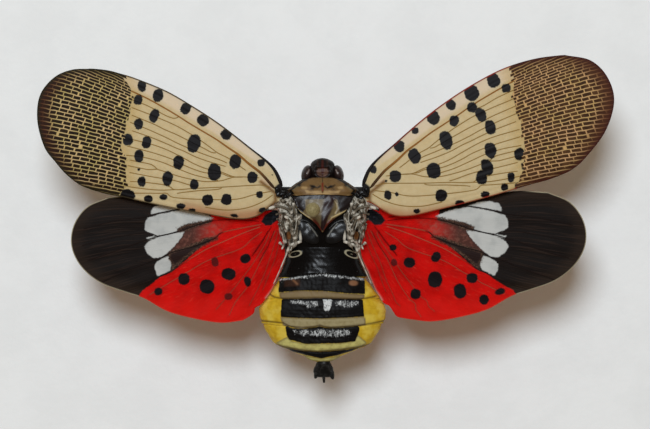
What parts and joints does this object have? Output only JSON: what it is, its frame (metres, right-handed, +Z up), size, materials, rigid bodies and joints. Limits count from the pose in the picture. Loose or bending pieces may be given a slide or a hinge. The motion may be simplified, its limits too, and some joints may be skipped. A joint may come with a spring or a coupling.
{
  "type": "spotted lanternfly specimen",
  "caption": "Life-size spread and pinned spotted lanternfly, wings open over a banded abdomen, held level by its insect pin on a small flat base.",
  "frame": {"origin": "middle of the underside of the display base, straight under the wing roots", "axes": "+X across the spread wings to the animal's right as seen in a picture from above, +Y towards the head, +Z up along the insect pin"},
  "size_m": [0.0521, 0.0296, 0.0217],
  "materials": {
    "forewing": "matte tan wing with black spots and a dark netted tip",
    "hindwing": "matte red, white and black wing",
    "cuticle_brown": "satin brown cuticle",
    "cuticle_black": "satin black cuticle with pale bloom",
    "abdomen": "yellow skin with black and cream bands",
    "eye": "glossy dark grey",
    "antenna": "satin orange",
    "pin": "dull brassy steel",
    "base": "matte off-white"
  },
  "bodies": {
    "root": {"forewing_left": "forewing", "forewing_right": "forewing", "hindwing_left": "hindwing", "hindwing_right": "hindwing", "head": "cuticle_brown", "eye_left": "eye", "eye_right": "eye", "antenna_left": "antenna", "antenna_right": "antenna", "rostrum": "cuticle_brown", "pronotum": "cuticle_brown", "scutellum": "cuticle_brown", "thorax": "cuticle_black", "abdomen_segment_1": "abdomen", "abdomen_segment_2": "abdomen", "abdomen_segment_3": "abdomen", "abdomen_segment_4": "abdomen", "abdomen_segment_5": "abdomen", "tail": "cuticle_black", "leg_fore_left": "cuticle_black", "leg_fore_right": "cuticle_black", "leg_mid_left": "cuticle_black", "leg_mid_right": "cuticle_black", "leg_hind_left": "cuticle_black", "leg_hind_right": "cuticle_black", "stand_pin": "pin", "stand_base": "base"}
  },
  "joints": []
}
